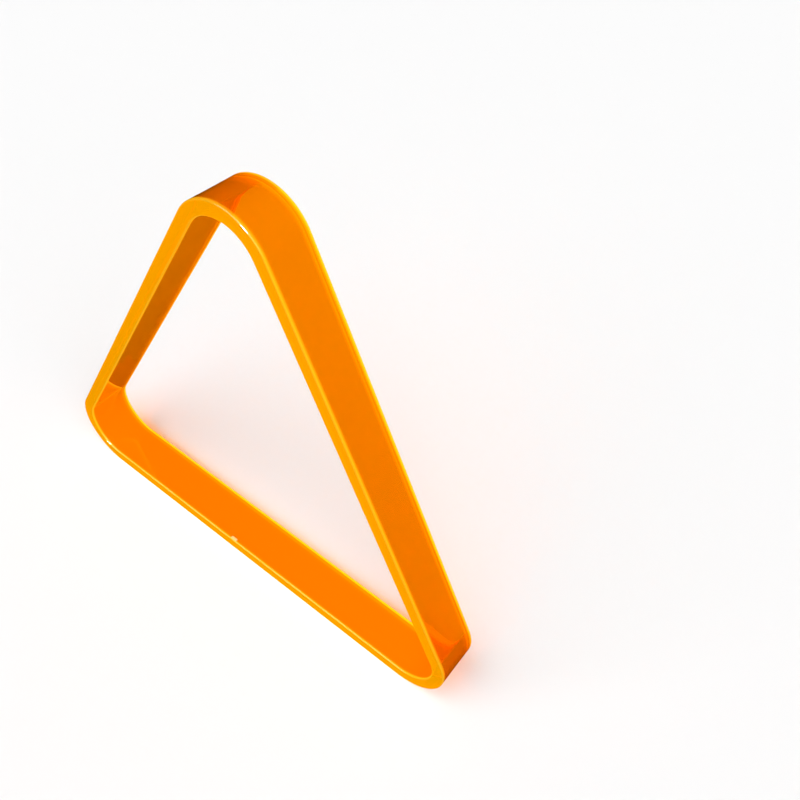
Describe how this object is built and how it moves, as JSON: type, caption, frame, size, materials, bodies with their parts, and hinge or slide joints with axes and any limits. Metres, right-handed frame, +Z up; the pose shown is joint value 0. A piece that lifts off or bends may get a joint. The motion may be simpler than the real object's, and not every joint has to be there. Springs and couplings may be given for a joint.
{
  "type": "triangle rack",
  "caption": "One-piece translucent orange plastic triangle with rounded corners and flat rims that sets pool balls in a tight triangular pack.",
  "frame": {"origin": "middle of the outer face of the base wall, which the rack stands on", "axes": "+X along the base wall, +Y from the front rim to the rear rim through the open triangle, +Z up to the apex"},
  "size_m": [0.3118, 0.03, 0.2782],
  "materials": {
    "orange_acrylic": "transparent fluorescent orange moulded acrylic, polished faces, rims glowing yellow-orange, light handling scratches"
  },
  "bodies": {
    "root": {"rack_frame": "orange_acrylic"}
  },
  "joints": []
}
